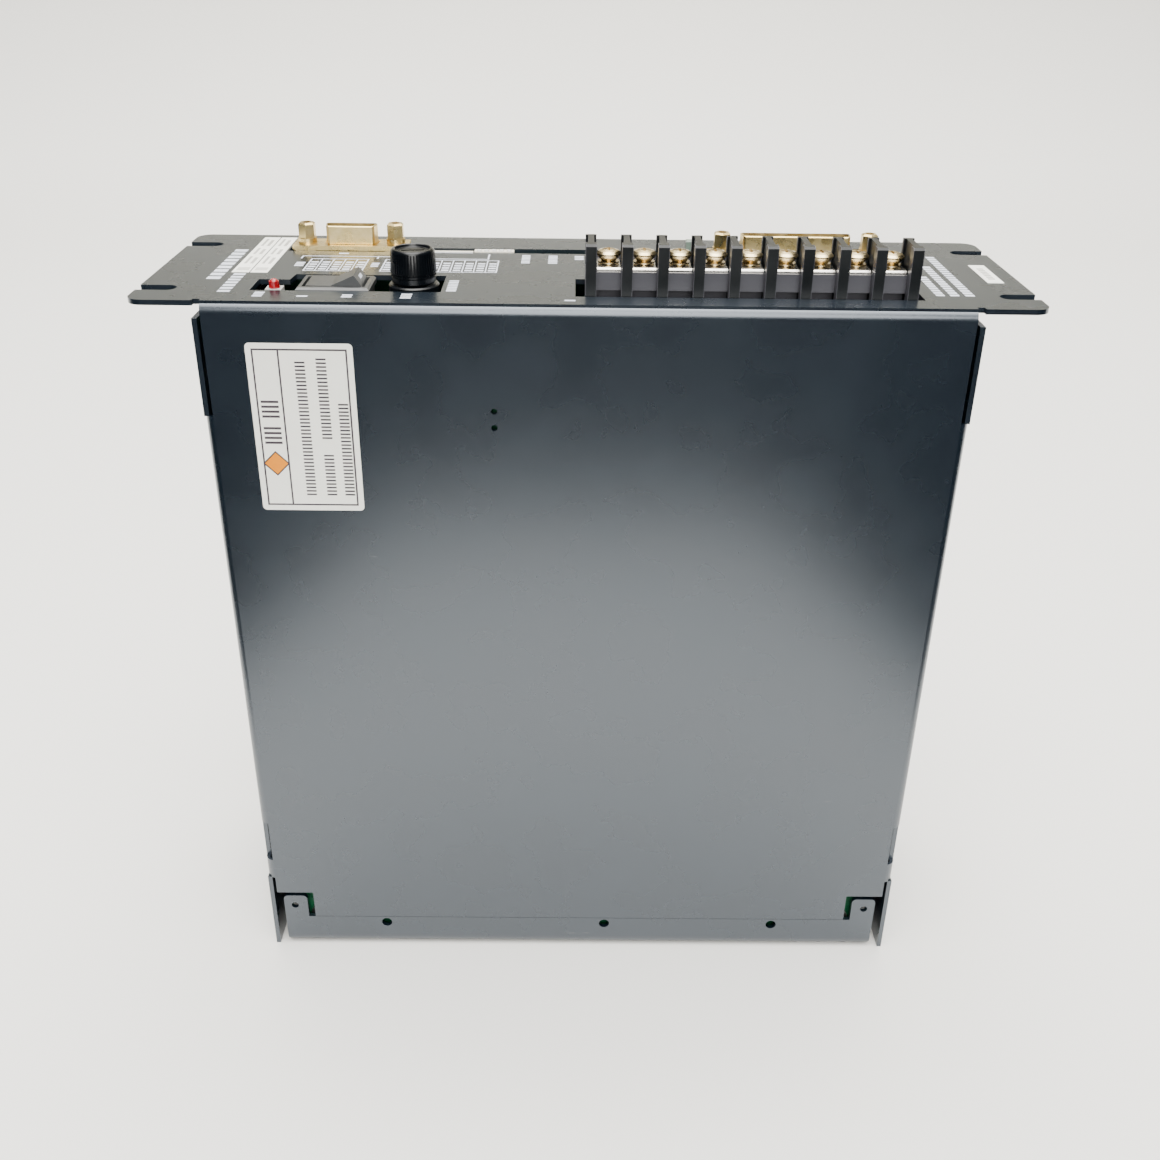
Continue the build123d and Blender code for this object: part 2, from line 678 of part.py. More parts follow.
with BuildPart() as jackscrews:
    for jack_x, seat in jack_places:
        with BuildSketch(Plane((jack_x, y_at(connector_depth), seat))):
            RegularPolygon(jack_flat / 2, 6, major_radius=False, rotation=30)
        extrude(amount=jack_rise)
    hex_tops = [edge for face in jackscrews.faces().filter_by(Axis.Z) if face.center().Z > seat
                for edge in face.outer_wire().edges()]
    chamfer(hex_tops, 0.5)
    for jack_x, seat in jack_places:
        rod_z(jack_x, connector_depth, 2.95, seat, seat + 1.6)
        rod_z(jack_x, connector_depth, 1.45, seat - flange_sheet - 4, seat + 0.5)
        rod_z(jack_x, connector_depth, 1.25, seat + 1.0, seat + 8, mode=Mode.SUBTRACT)
finish(jackscrews, "jackscrews")

with BuildPart() as connector_brackets:
    for jack_x, seat in jack_places:
        under = seat - flange_sheet
        block(jack_x - 3.2, jack_x + 3.2, control_far_face, connector_depth + 3.6, under - 1.2,
              under)
        block(jack_x - 3.2, jack_x + 3.2, control_far_face, control_far_face + 1.2, under - 8,
              under)
        rod_z(jack_x, connector_depth, 1.5, under - 3, under + 1, mode=Mode.SUBTRACT)
finish(connector_brackets, "connector_brackets")

with BuildPart() as status_led:
    block(30.9, 33.3, control_far_face, control_far_face + 3.0, height - 4, height + 4.4)
    status_edges = status_led.edges().group_by(Axis.Z)[-1]
    fillet(status_edges, 0.5)
finish(status_led, "status_led")

# ---------------------------------------------------------------- power electronics
spreader_wall = (14.5, 19.5)
with BuildPart() as heat_spreader:
    block(-85, 85, thickness - sheet - 5, thickness - sheet, spreader_wall[0], 96)
    block(-85, 85, 16, thickness - sheet, spreader_wall[0], spreader_wall[1])
    for hole_x in (-70.0, 0.0, 70.0):
        for hole_z in (32.0, 88.0):
            rod_y(hole_x, hole_z, 1.5, thickness - sheet - 6, thickness, mode=Mode.SUBTRACT)
    with Locations(*[(x, y_at(36), spreader_wall[1]) for x in range(-70, 71, 20)]):
        Hole(1.3, 3)
finish(heat_spreader, "heat_spreader")

with BuildPart() as insulating_pad:
    block(-80, 80, 22, 44, spreader_wall[1], spreader_wall[1] + 0.4)
    for x in range(-70, 71, 20):
        rod_z(x, 36, 1.7, spreader_wall[1] - 1, spreader_wall[1] + 1, mode=Mode.SUBTRACT)
finish(insulating_pad, "insulating_pad")

pad_top = spreader_wall[1] + 0.4
with BuildPart() as power_transistors:
    for x in range(-70, 71, 20):
        block(x - 7.8, x + 7.8, 22.5, 42.5, pad_top, pad_top + 4.8)
        rod_z(x, 36, 1.7, pad_top - 1, pad_top + 6, mode=Mode.SUBTRACT)
        for lead in (-5.4, 0, 5.4):
            block(x + lead - 0.5, x + lead + 0.5, power_top_face, 22.5, pad_top + 1.6,
                  pad_top + 2.2)
finish(power_transistors, "power_transistors")

with BuildPart() as main_capacitors:
    for x in (-66.0, -26.0):
        rod_y(x, 140, 17.5, power_top_face, power_top_face + 45)
        with Locations(Location((x, y_at(power_top_face + 40), 140), (90, 0, 0))):
            Torus(17.9, 0.8, mode=Mode.SUBTRACT)
finish(main_capacitors, "main_capacitors")

with BuildPart() as filter_capacitors:
    for x, z in ((20, 190), (34, 190), (48, 190), (62, 190), (76, 190)):
        rod_y(x, z, 5.0, power_top_face, power_top_face + 20)
finish(filter_capacitors, "filter_capacitors")

with BuildPart() as transformer_core:
    block(20, 58, power_top_face + 2, power_top_face + 36, 118, 126)
    block(20, 58, power_top_face + 2, power_top_face + 36, 148, 156)
    for x_low, x_high in ((20, 27), (51, 58)):
        block(x_low, x_high, power_top_face + 2, power_top_face + 36, 126, 148)
finish(transformer_core, "transformer_core")

with BuildPart() as transformer_coil:
    block(27.4, 50.6, power_top_face, power_top_face + 38, 126.4, 147.6)
    coil_edges = transformer_coil.edges().filter_by(Axis.Z)
    fillet(coil_edges, 4)
finish(transformer_coil, "transformer_coil")

with BuildPart() as line_choke:
    rod_y(-64, 190, 12.5, power_top_face + 0.5, power_top_face + 14)
    rod_y(-64, 190, 5.0, power_top_face - 1, power_top_face + 20, mode=Mode.SUBTRACT)
    ring_edges = line_choke.edges().filter_by(GeomType.CIRCLE)
    fillet(ring_edges, 2.5)
finish(line_choke, "line_choke")

with BuildPart() as bridge_rectifier:
    block(70, 92, power_top_face + 4, power_top_face + 28, 112, 118.5)
    for x in (73, 78.3, 83.6, 89):
        block(x - 0.5, x + 0.5, power_top_face, power_top_face + 4, 114.6, 115.6)
finish(bridge_rectifier, "bridge_rectifier")

with BuildPart() as inrush_relay:
    block(72, 92, power_top_face, power_top_face + 16, 138, 162)
    relay_edges = inrush_relay.edges().filter_by(Axis.Y)
    fillet(relay_edges, 1.0)
finish(inrush_relay, "inrush_relay")

with BuildPart() as braking_resistors:
    for z in (60, 74, 88):
        block(-88, -40, power_top_face + 2, power_top_face + 11, z, z + 9)
finish(braking_resistors, "braking_resistors")

with BuildPart() as gate_drivers:
    for x in range(-20, 81, 20):
        block(x - 3.2, x + 3.2, power_top_face + 0.4, power_top_face + 3.8, 60, 79)
        for side in (-1, 1):
            leg = sorted((x + side * 3.2, x + side * 4.0))
            block(leg[0], leg[1], power_top_face, power_top_face + 2.2, 61, 78)
finish(gate_drivers, "gate_drivers")

with BuildPart() as board_headers:
    block(-40, 10, power_top_face, control_board_depth, 206, 211)
    block(20, 60, power_top_face, power_top_face + 9, 209, io_board_top - board_sheet)
finish(board_headers, "board_headers")

with BuildPart() as controller_chips:
    for x, z, size in ((-50, 180, 20), (-10, 180, 28), (40, 182, 20), (-50, 145, 14),
                       (0, 140, 18), (40, 145, 14)):
        block(x - size / 2, x + size / 2, control_far_face + 0.3, control_far_face + 3.2,
              z - size / 2, z + size / 2)
        block(x - size / 2 - 1, x + size / 2 + 1, control_far_face, control_far_face + 0.3,
              z - size / 2 + 1, z + size / 2 - 1)
finish(controller_chips, "controller_chips")

with BuildPart() as clock_crystal:
    block(66, 77, control_far_face, control_far_face + 3.6, 170, 174.6)
    can_edges = clock_crystal.edges().filter_by(Axis.Y)
    fillet(can_edges, 2.0)
finish(clock_crystal, "clock_crystal")

# ---------------------------------------------------------------- screws

with BuildPart() as case_screws:
    for hole_x, hole_z in back_screws:
        rod_y(hole_x, hole_z, 1.45, thickness - sheet - 4.5, thickness - 0.2)
        countersink(hole_x, hole_z, 0)
        with Locations((hole_x, y_at(thickness), hole_z)):
            Box(cross_length, 1.6, cross_width, mode=Mode.SUBTRACT)
            Box(cross_width, 1.6, cross_length, mode=Mode.SUBTRACT)
    for side in (-1, 1):
        for screw_z in (30.0, 190.0):
            outside = side * half_width
            rod_x(72, screw_z, 1.4, *sorted((outside, outside - side * 6)))
            rod_x(72, screw_z, head_radius, *sorted((outside, outside + side * head_height)))
            with Locations((outside + side * head_height, y_at(72), screw_z)):
                Box(1.6, cross_length, cross_width, mode=Mode.SUBTRACT)
                Box(1.6, cross_width, cross_length, mode=Mode.SUBTRACT)
finish(case_screws, "case_screws")

with BuildPart() as board_screws:
    for hole_x in (-pillar_x, pillar_x):
        for hole_z in (low_pillar_z, *board_pillar_z):
            head_face = power_board_depth - head_height
            rod_y(hole_x, hole_z, 1.45, power_board_depth - 0.2, power_top_face + 5)
            rod_y(hole_x, hole_z, head_radius, head_face, power_board_depth)
            with Locations((hole_x, y_at(head_face), hole_z)):
                Box(cross_length, 1.6, cross_width, mode=Mode.SUBTRACT)
                Box(cross_width, 1.6, cross_length, mode=Mode.SUBTRACT)
    for x in range(-70, 71, 20):
        rod_z(x, 36, 1.25, pad_top - 3, pad_top + 4.8)
        rod_z(x, 36, head_radius, pad_top + 4.8, pad_top + 6.5)
    for side in (-1, 1):
        for hole_depth in (40.0, 46.0):
            rod_z(side * 96, hole_depth, 1.25, io_board_top - 6, io_board_top)
            rod_z(side * 96, hole_depth, 2.3, io_board_top, io_board_top + 1.7)
finish(board_screws, "board_screws")
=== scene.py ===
import json
import math
import bpy
from mathutils import Matrix, Vector


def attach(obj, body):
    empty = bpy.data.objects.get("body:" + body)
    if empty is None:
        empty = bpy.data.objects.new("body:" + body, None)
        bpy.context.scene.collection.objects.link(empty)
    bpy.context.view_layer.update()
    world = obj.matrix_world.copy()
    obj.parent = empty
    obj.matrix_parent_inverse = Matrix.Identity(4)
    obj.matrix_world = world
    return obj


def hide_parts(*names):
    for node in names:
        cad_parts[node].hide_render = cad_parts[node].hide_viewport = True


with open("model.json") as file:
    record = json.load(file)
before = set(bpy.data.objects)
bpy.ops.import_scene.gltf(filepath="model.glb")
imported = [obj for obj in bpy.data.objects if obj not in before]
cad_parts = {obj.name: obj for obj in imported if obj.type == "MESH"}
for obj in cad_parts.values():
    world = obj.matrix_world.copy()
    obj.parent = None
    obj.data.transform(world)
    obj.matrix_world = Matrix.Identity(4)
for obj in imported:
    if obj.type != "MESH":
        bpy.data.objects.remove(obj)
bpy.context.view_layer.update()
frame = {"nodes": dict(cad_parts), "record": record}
nodes = frame["nodes"]

MM = 0.001


# ---------------------------------------------------------------- small helpers
def deselect():
    """Nothing selected, and no edit left open."""
    if bpy.context.object and bpy.context.object.mode != "OBJECT":
        bpy.ops.object.mode_set(mode="OBJECT")
    bpy.ops.object.select_all(action="DESELECT")


def pick(piece):
    """Only this piece selected and active."""
    deselect()
    piece.select_set(True)
    bpy.context.view_layer.objects.active = piece


def choose(piece, kind, wanted):
    """Opens the piece for editing with only the wanted faces or edges selected."""
    pick(piece)
    bpy.ops.object.mode_set(mode="EDIT")
    bpy.ops.mesh.select_mode(type=kind)
    bpy.ops.mesh.select_all(action="DESELECT")
    bpy.ops.object.mode_set(mode="OBJECT")
    parts = piece.data.polygons if kind == "FACE" else piece.data.edges
    for index in wanted:
        parts[index].select = True
    bpy.ops.object.mode_set(mode="EDIT")


def settle(piece, material, body="case"):
    """Applies the place to the mesh, gives the piece its material and body."""
    pick(piece)
    bpy.ops.object.transform_apply(location=True, rotation=True, scale=True)
    piece.data.materials.clear()
    piece.data.materials.append(material)
    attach(piece, body)
    return piece


# ---------------------------------------------------------------- shader node groups
def new_group(name, inputs, outputs):
    """Empty shader group with named float, colour and vector sockets."""
    group = bpy.data.node_groups.new(name, "ShaderNodeTree")
    for label, kind, value in inputs:
        item = group.interface.new_socket(name=label, in_out="INPUT", socket_type=kind)
        if value is not None:
            item.default_value = value
    for label, kind in outputs:
        group.interface.new_socket(name=label, in_out="OUTPUT", socket_type=kind)
    nodes_in = group.nodes.new("NodeGroupInput")
    nodes_out = group.nodes.new("NodeGroupOutput")
    return group, nodes_in, nodes_out


def make_mottle_group():
    """Slow and fast colour variation, with roughness and height that follow it."""
    group, start, end = new_group(
        "mottle",
        [("Vector", "NodeSocketVector", None), ("Dark", "NodeSocketColor", (0, 0, 0, 1)),
         ("Light", "NodeSocketColor", (1, 1, 1, 1)), ("Scale", "NodeSocketFloat", 60.0),
         ("Grain", "NodeSocketFloat", 900.0), ("Rough low", "NodeSocketFloat", 0.3),
         ("Rough high", "NodeSocketFloat", 0.5)],
        [("Color", "NodeSocketColor"), ("Roughness", "NodeSocketFloat"),
         ("Height", "NodeSocketFloat")])
    links = group.links
    broad = group.nodes.new("ShaderNodeTexNoise")
    broad.inputs["Detail"].default_value = 4
    fine = group.nodes.new("ShaderNodeTexNoise")
    fine.inputs["Detail"].default_value = 2
    blend = group.nodes.new("ShaderNodeMath")
    blend.operation = "MULTIPLY_ADD"
    blend.inputs[1].default_value = 0.35
    ramp = group.nodes.new("ShaderNodeMapRange")
    ramp.inputs["From Min"].default_value = 0.45
    ramp.inputs["From Max"].default_value = 0.9
    mix = group.nodes.new("ShaderNodeMix")
    mix.data_type = "RGBA"
    rough = group.nodes.new("ShaderNodeMapRange")
    rough.inputs["From Min"].default_value = 0.3
    rough.inputs["From Max"].default_value = 0.7
    links.new(start.outputs["Vector"], broad.inputs["Vector"])
    links.new(start.outputs["Scale"], broad.inputs["Scale"])
    links.new(start.outputs["Vector"], fine.inputs["Vector"])
    links.new(start.outputs["Grain"], fine.inputs["Scale"])
    links.new(fine.outputs["Fac"], blend.inputs[0])
    links.new(broad.outputs["Fac"], blend.inputs[2])
    links.new(blend.outputs[0], ramp.inputs["Value"])
    links.new(ramp.outputs[0], mix.inputs["Factor"])
    links.new(start.outputs["Dark"], mix.inputs["A"])
    links.new(start.outputs["Light"], mix.inputs["B"])
    links.new(mix.outputs["Result"], end.inputs["Color"])
    links.new(broad.outputs["Fac"], rough.inputs["Value"])
    links.new(start.outputs["Rough low"], rough.inputs["To Min"])
    links.new(start.outputs["Rough high"], rough.inputs["To Max"])
    links.new(rough.outputs[0], end.inputs["Roughness"])
    links.new(fine.outputs["Fac"], end.inputs["Height"])
    return group


def make_scratch_group():
    """Sparse thin scratches: a mask that is 1 on a scratch."""
    group, start, end = new_group(
        "scratches",
        [("Vector", "NodeSocketVector", None), ("Scale", "NodeSocketFloat", 30.0),
         ("Amount", "NodeSocketFloat", 0.03)],
        [("Mask", "NodeSocketFloat")])
    links = group.links
    stretch = group.nodes.new("ShaderNodeVectorMath")
    stretch.operation = "MULTIPLY"
    stretch.inputs[1].default_value = (1.0, 1.0, 9.0)
    bend = group.nodes.new("ShaderNodeTexNoise")
    bend.inputs["Scale"].default_value = 14
    add = group.nodes.new("ShaderNodeVectorMath")
    add.operation = "MULTIPLY_ADD"
    add.inputs[1].default_value = (0.05, 0.05, 0.3)
    lines = group.nodes.new("ShaderNodeTexNoise")
    lines.inputs["Detail"].default_value = 5
    lines.inputs["Roughness"].default_value = 0.7
    place = group.nodes.new("ShaderNodeTexNoise")
    place.inputs["Scale"].default_value = 11
    less = group.nodes.new("ShaderNodeMapRange")
    less.inputs["From Min"].default_value = 0.66
    less.inputs["From Max"].default_value = 0.72
    only = group.nodes.new("ShaderNodeMapRange")
    only.inputs["From Min"].default_value = 0.58
    only.inputs["From Max"].default_value = 0.66
    both = group.nodes.new("ShaderNodeMath")
    both.operation = "MULTIPLY"
    scale = group.nodes.new("ShaderNodeMath")
    scale.operation = "MULTIPLY"
    links.new(start.outputs["Vector"], stretch.inputs[0])
    links.new(start.outputs["Vector"], bend.inputs["Vector"])
    links.new(bend.outputs["Color"], add.inputs[0])
    links.new(stretch.outputs[0], add.inputs[2])
    links.new(add.outputs[0], lines.inputs["Vector"])
    links.new(start.outputs["Scale"], lines.inputs["Scale"])
    links.new(start.outputs["Vector"], place.inputs["Vector"])
    links.new(lines.outputs["Fac"], less.inputs["Value"])
    links.new(place.outputs["Fac"], only.inputs["Value"])
    links.new(less.outputs[0], both.inputs[0])
    links.new(only.outputs[0], both.inputs[1])
    links.new(both.outputs[0], scale.inputs[0])
    links.new(start.outputs["Amount"], scale.inputs[1])
    links.new(scale.outputs[0], end.inputs["Mask"])
    return group


mottle_group = make_mottle_group()
scratch_group = make_scratch_group()


def surface(name, dark, light, rough, metallic=0.0, scale=60.0, grain=900.0, bump=0.02,
            ior=1.5, coat=0.0, scratches=0.0, transmission=0.0, painted_glow=0.0,
            tint=(1.0, 1.0, 1.0)):
    """Principled material with mottled colour, roughness and fine grain."""
    material = bpy.data.materials.new(name)
    material.use_nodes = True
    tree = material.node_tree
    shader = tree.nodes["Principled BSDF"]
    place = tree.nodes.new("ShaderNodeTexCoord")
    mottle = tree.nodes.new("ShaderNodeGroup")
    mottle.node_tree = mottle_group
    mottle.inputs["Dark"].default_value = (*dark, 1)
    mottle.inputs["Light"].default_value = (*light, 1)
    mottle.inputs["Scale"].default_value = scale
    mottle.inputs["Grain"].default_value = grain
    mottle.inputs["Rough low"].default_value = rough[0]
    mottle.inputs["Rough high"].default_value = rough[1]
    tree.links.new(place.outputs["Object"], mottle.inputs["Vector"])
    tree.links.new(mottle.outputs["Roughness"], shader.inputs["Roughness"])
    colour = mottle.outputs["Color"]
    if scratches:
        marks = tree.nodes.new("ShaderNodeGroup")
        marks.node_tree = scratch_group
        marks.inputs["Amount"].default_value = scratches
        mix = tree.nodes.new("ShaderNodeMix")
        mix.data_type = "RGBA"
        mix.inputs["B"].default_value = (0.5, 0.5, 0.48, 1)
        tree.links.new(place.outputs["Object"], marks.inputs["Vector"])
        tree.links.new(marks.outputs["Mask"], mix.inputs["Factor"])
        tree.links.new(colour, mix.inputs["A"])
        colour = mix.outputs["Result"]
    tree.links.new(colour, shader.inputs["Base Color"])
    relief = tree.nodes.new("ShaderNodeBump")
    relief.inputs["Strength"].default_value = bump
    relief.inputs["Distance"].default_value = 0.0004
    tree.links.new(mottle.outputs["Height"], relief.inputs["Height"])
    tree.links.new(relief.outputs["Normal"], shader.inputs["Normal"])
    shader.inputs["Metallic"].default_value = metallic
    shader.inputs["IOR"].default_value = ior
    shader.inputs["Specular Tint"].default_value = (*tint, 1)
    shader.inputs["Coat Weight"].default_value = coat
    shader.inputs["Transmission Weight"].default_value = transmission
    if painted_glow:
        shader.inputs["Emission Color"].default_value = (*light, 1)
        shader.inputs["Emission Strength"].default_value = painted_glow
    return material


# ---------------------------------------------------------------- finishes
black_paint = surface("black_paint", (0.0015, 0.0045, 0.0085), (0.0035, 0.0075, 0.013),
                      (0.265, 0.285), ior=1.98, grain=1500, bump=0.02, scratches=0.12,
                      tint=(0.84, 0.91, 1.0))
label_film = surface("label_film", (0.90, 0.90, 0.83), (0.94, 0.94, 0.88), (0.35, 0.5))
circuit_board = surface("circuit_board", (0.004, 0.05, 0.022), (0.01, 0.12, 0.05),
                        (0.25, 0.4), scale=240, grain=1600)
black_zinc = surface("black_zinc", (0.02, 0.02, 0.022), (0.05, 0.05, 0.052), (0.3, 0.45),
                     metallic=0.7)
zinc_steel = surface("zinc_steel", (0.50, 0.50, 0.48), (0.66, 0.66, 0.63), (0.25, 0.42),
                     metallic=1.0)
pillar_brass = surface("pillar_brass", (0.55, 0.47, 0.30), (0.70, 0.62, 0.42), (0.25, 0.4),
                       metallic=1.0)
terminal_plastic = surface("terminal_plastic", (0.0008, 0.0018, 0.0026), (0.002, 0.0035, 0.0045),
                           (0.32, 0.45), ior=1.42, bump=0.05)
nickel_plate = surface("nickel_plate", (0.72, 0.68, 0.62), (0.86, 0.83, 0.78), (0.18, 0.35),
                       metallic=1.0)
yellow_zinc = surface("yellow_zinc", (0.56, 0.43, 0.22), (0.78, 0.65, 0.40), (0.18, 0.36),
                      metallic=1.0, scale=300)
fuse_plastic = surface("fuse_plastic", (0.0010, 0.0016, 0.0026), (0.0025, 0.0035, 0.005),
                       (0.22, 0.36), ior=1.45)
fuse_glass = surface("fuse_glass", (0.75, 0.78, 0.78), (0.85, 0.87, 0.87), (0.05, 0.12),
                     transmission=0.8)
switch_plastic = surface("switch_plastic", (0.018, 0.020, 0.021), (0.030, 0.032, 0.034),
                         (0.35, 0.5), ior=1.7, bump=0.06)
grey_plastic = surface("grey_plastic", (0.36, 0.36, 0.34), (0.46, 0.46, 0.44), (0.4, 0.55))
# painted glow: the unlit lamp lens is given a faint red emission
red_lens = surface("red_lens", (0.22, 0.002, 0.005), (0.36, 0.006, 0.012), (0.08, 0.18),
                   coat=0.3, painted_glow=0.04)
cream_plastic = surface("cream_plastic", (0.62, 0.59, 0.50), (0.74, 0.71, 0.62), (0.35, 0.5))
white_plastic = surface("white_plastic", (0.74, 0.74, 0.71), (0.82, 0.82, 0.80), (0.3, 0.45))
yellow_chromate = surface("yellow_chromate", (0.70, 0.52, 0.20), (0.82, 0.66, 0.34),
                          (0.22, 0.40), metallic=1.0, scale=220)
black_insulator = surface("black_insulator", (0.008, 0.008, 0.009), (0.018, 0.018, 0.02),
                          (0.35, 0.5))
green_lens = surface("green_lens", (0.10, 0.14, 0.11), (0.16, 0.21, 0.17), (0.2, 0.35))
aluminium_block = surface("aluminium_block", (0.62, 0.63, 0.64), (0.74, 0.75, 0.76),
                          (0.3, 0.45), metallic=1.0)
thermal_pad = surface("thermal_pad", (0.36, 0.36, 0.38), (0.45, 0.45, 0.47), (0.6, 0.75))
component_epoxy = surface("component_epoxy", (0.012, 0.012, 0.013), (0.03, 0.03, 0.032),
                          (0.4, 0.6))
capacitor_sleeve = surface("capacitor_sleeve", (0.010, 0.014, 0.05), (0.018, 0.024, 0.08),
                           (0.15, 0.3), coat=0.3)
ferrite = surface("ferrite", (0.03, 0.03, 0.032), (0.06, 0.06, 0.062), (0.55, 0.75))
coil_tape = surface("coil_tape", (0.62, 0.46, 0.06), (0.74, 0.58, 0.12), (0.3, 0.45))
cement = surface("cement", (0.60, 0.59, 0.55), (0.74, 0.73, 0.70), (0.7, 0.85))
crystal_can = surface("crystal_can", (0.62, 0.62, 0.60), (0.75, 0.75, 0.73), (0.2, 0.35),
                      metallic=1.0)

finish_of_slot = {
    "black_paint": black_paint, "label_film": label_film, "circuit_board": circuit_board,
    "black_screw": black_zinc, "zinc_steel": zinc_steel, "brass_pillar": pillar_brass,
    "terminal_plastic": terminal_plastic, "nickel_plate": nickel_plate,
    "terminal_screw": yellow_zinc, "fuse_plastic": fuse_plastic, "fuse_glass": fuse_glass,
    "switch_plastic": switch_plastic, "grey_plastic": grey_plastic, "red_lens": red_lens,
    "cream_plastic": cream_plastic, "white_plastic": white_plastic,
    "yellow_chromate": yellow_chromate, "black_insulator": black_insulator,
    "green_lens": green_lens, "aluminium_block": aluminium_block, "thermal_pad": thermal_pad,
    "component_epoxy": component_epoxy, "capacitor_sleeve": capacitor_sleeve,
    "ferrite": ferrite, "coil_tape": coil_tape, "cement": cement, "crystal_can": crystal_can,
}
for entry in frame["record"]["subparts"]:
    piece = nodes[entry["node"]]
    piece.data.materials.clear()
    piece.data.materials.append(finish_of_slot[entry["material_slot"]])


# ---------------------------------------------------------------- sizes of the case
# all in millimetres
HEIGHT = 236.0
NEAR = -40.5
INK = 0.03
LABEL_INK = 0.02
FILM = 0.08
STICKER = 0.12
DIAMOND_THICKNESS = 0.015
LABEL_CORNER = 1.2
POLE_PITCH = 10.08
FIRST_BARRIER = 0.3
FUSE_X, FUSE_DEPTH = -50.5, 20.5
FUSE_END_SPACING = 15.1


# ---------------------------------------------------------------- terminal block faces
def maths(tree, operation, source, *values):
    """Maths node on a value, with its other inputs set."""
    node = tree.nodes.new("ShaderNodeMath")
    node.operation = operation
    tree.links.new(source, node.inputs[0])
    for index, value in enumerate(values):
        node.inputs[index + 1].default_value = value
    return node.outputs[0]


def painted_reflection_between_barriers(material, pale):
    """Painted reflection: the low faces between the barriers get a lighter base colour, standing
    in for the light they reflect, so they look lighter than the barriers.
    """
    tree = material.node_tree
    shader = tree.nodes["Principled BSDF"]
    place = tree.nodes.new("ShaderNodeTexCoord")
    axes = tree.nodes.new("ShaderNodeSeparateXYZ")
    tree.links.new(place.outputs["Object"], axes.inputs[0])
    turns = maths(tree, "MULTIPLY_ADD", axes.outputs["X"], 1 / (POLE_PITCH * MM),
                  0.5 - FIRST_BARRIER / POLE_PITCH)
    from_barrier = maths(tree, "ABSOLUTE",
                         maths(tree, "SUBTRACT", maths(tree, "FRACT", turns), 0.5))
    between = tree.nodes.new("ShaderNodeMapRange")
    between.inputs["From Min"].default_value = 0.135
    between.inputs["From Max"].default_value = 0.150
    painted_reflection_mix = tree.nodes.new("ShaderNodeMix")
    painted_reflection_mix.data_type = "RGBA"
    painted_reflection_mix.inputs["B"].default_value = (*pale, 1)
    tree.links.new(from_barrier, between.inputs["Value"])
    tree.links.new(between.outputs[0], painted_reflection_mix.inputs["Factor"])
    tree.links.new(shader.inputs["Base Color"].links[0].from_socket, painted_reflection_mix.inputs["A"])
    tree.links.new(painted_reflection_mix.outputs["Result"], shader.inputs["Base Color"])


# painted reflection: a lighter colour on the terminal block faces between the barriers
painted_reflection_between_barriers(terminal_plastic, (0.060, 0.060, 0.070))


# ---------------------------------------------------------------- flat print
def place_on_panel(x, depth, lift=0.0):
    """Point on the front panel, from millimetres along it and back from the side plate."""
    return Vector((x * MM, (depth + NEAR) * MM, (HEIGHT + lift) * MM))


def thicken(push):
    """Gives the flat shape being edited its thickness, with all faces turned outwards."""
    bpy.ops.mesh.select_all(action="SELECT")
    bpy.ops.mesh.extrude_region_move(TRANSFORM_OT_translate={"value": push})
    bpy.ops.mesh.select_all(action="SELECT")
    bpy.ops.mesh.normals_make_consistent(inside=False)
    bpy.ops.object.mode_set(mode="OBJECT")


def flat_bars(name, bars, lift, thickness, material, upright=False):
    """Thin flat bars, for print and for a painted highlight: on the panel, or on the side plate
    where upright is set.
    """
    deselect()
    first = True
    for x_low, x_high, low, high in bars:
        centre_x, centre = (x_low + x_high) / 2, (low + high) / 2
        if upright:
            spot = Vector((centre_x * MM, (NEAR - lift) * MM, (HEIGHT + centre) * MM))
            stretch = ((x_high - x_low) * MM, 1, (high - low) * MM)
            turn = (math.pi / 2, 0, 0)
        else:
            spot = place_on_panel(centre_x, centre, lift)
            stretch = ((x_high - x_low) * MM, (high - low) * MM, 1)
            turn = (0, 0, 0)
        bpy.ops.mesh.primitive_plane_add(size=1, location=spot, rotation=turn)
        if first:
            piece = bpy.context.object
            piece.name = name
            bpy.ops.object.transform_apply(location=True, rotation=True, scale=True)
            bpy.ops.object.mode_set(mode="EDIT")
            bpy.ops.mesh.select_all(action="SELECT")
            first = False
        bpy.ops.transform.resize(value=stretch, center_override=spot)
    thicken((0, -thickness * MM, 0) if upright else (0, 0, thickness * MM))
    return settle(piece, material)


def outline(x_low, x_high, low, high, line):
    """Four bars around a rectangle."""
    return [(x_low, x_high, low, low + line), (x_low, x_high, high - line, high),
            (x_low, x_low + line, low + line, high - line),
            (x_high - line, x_high, low + line, high - line)]


def dashes(x_low, x_high, low, high, mark, gap):
    """Row of plain marks that runs from low to high."""
    found = []
    at = low
    while at + mark <= high + 0.01:
        found.append((x_low, x_high, at, at + mark))
        at += mark + gap
    return found


# ---------------------------------------------------------------- panel print and a painted highlight
white_ink_and_highlight = surface("white_ink_and_highlight", (0.50, 0.53, 0.60), (0.62, 0.65, 0.72), (0.45, 0.6))
dark_ink = surface("dark_ink", (0.030, 0.022, 0.030), (0.05, 0.04, 0.05), (0.4, 0.55))
pale_ink = surface("pale_ink", (0.33, 0.32, 0.30), (0.42, 0.41, 0.38), (0.4, 0.55))
amber_ink = surface("amber_ink", (0.78, 0.23, 0.0), (0.84, 0.28, 0.0), (0.35, 0.5))

print_and_highlight_bars = []
for first_x, last_x, columns in ((-85.5, -67.6, 5), (-62.6, -27.5, 10)):
    pitch = (last_x - first_x) / columns
    print_and_highlight_bars += outline(first_x, last_x, 34.6, 49.6, 0.45)
    for column in range(columns):
        left = first_x + pitch * column
        if column:
            print_and_highlight_bars.append((left - 0.18, left + 0.18, 35.05, 49.15))
        print_and_highlight_bars += dashes(left + 0.7, left + pitch - 0.6, 36.2, 48.6, 1.5, 1.3)
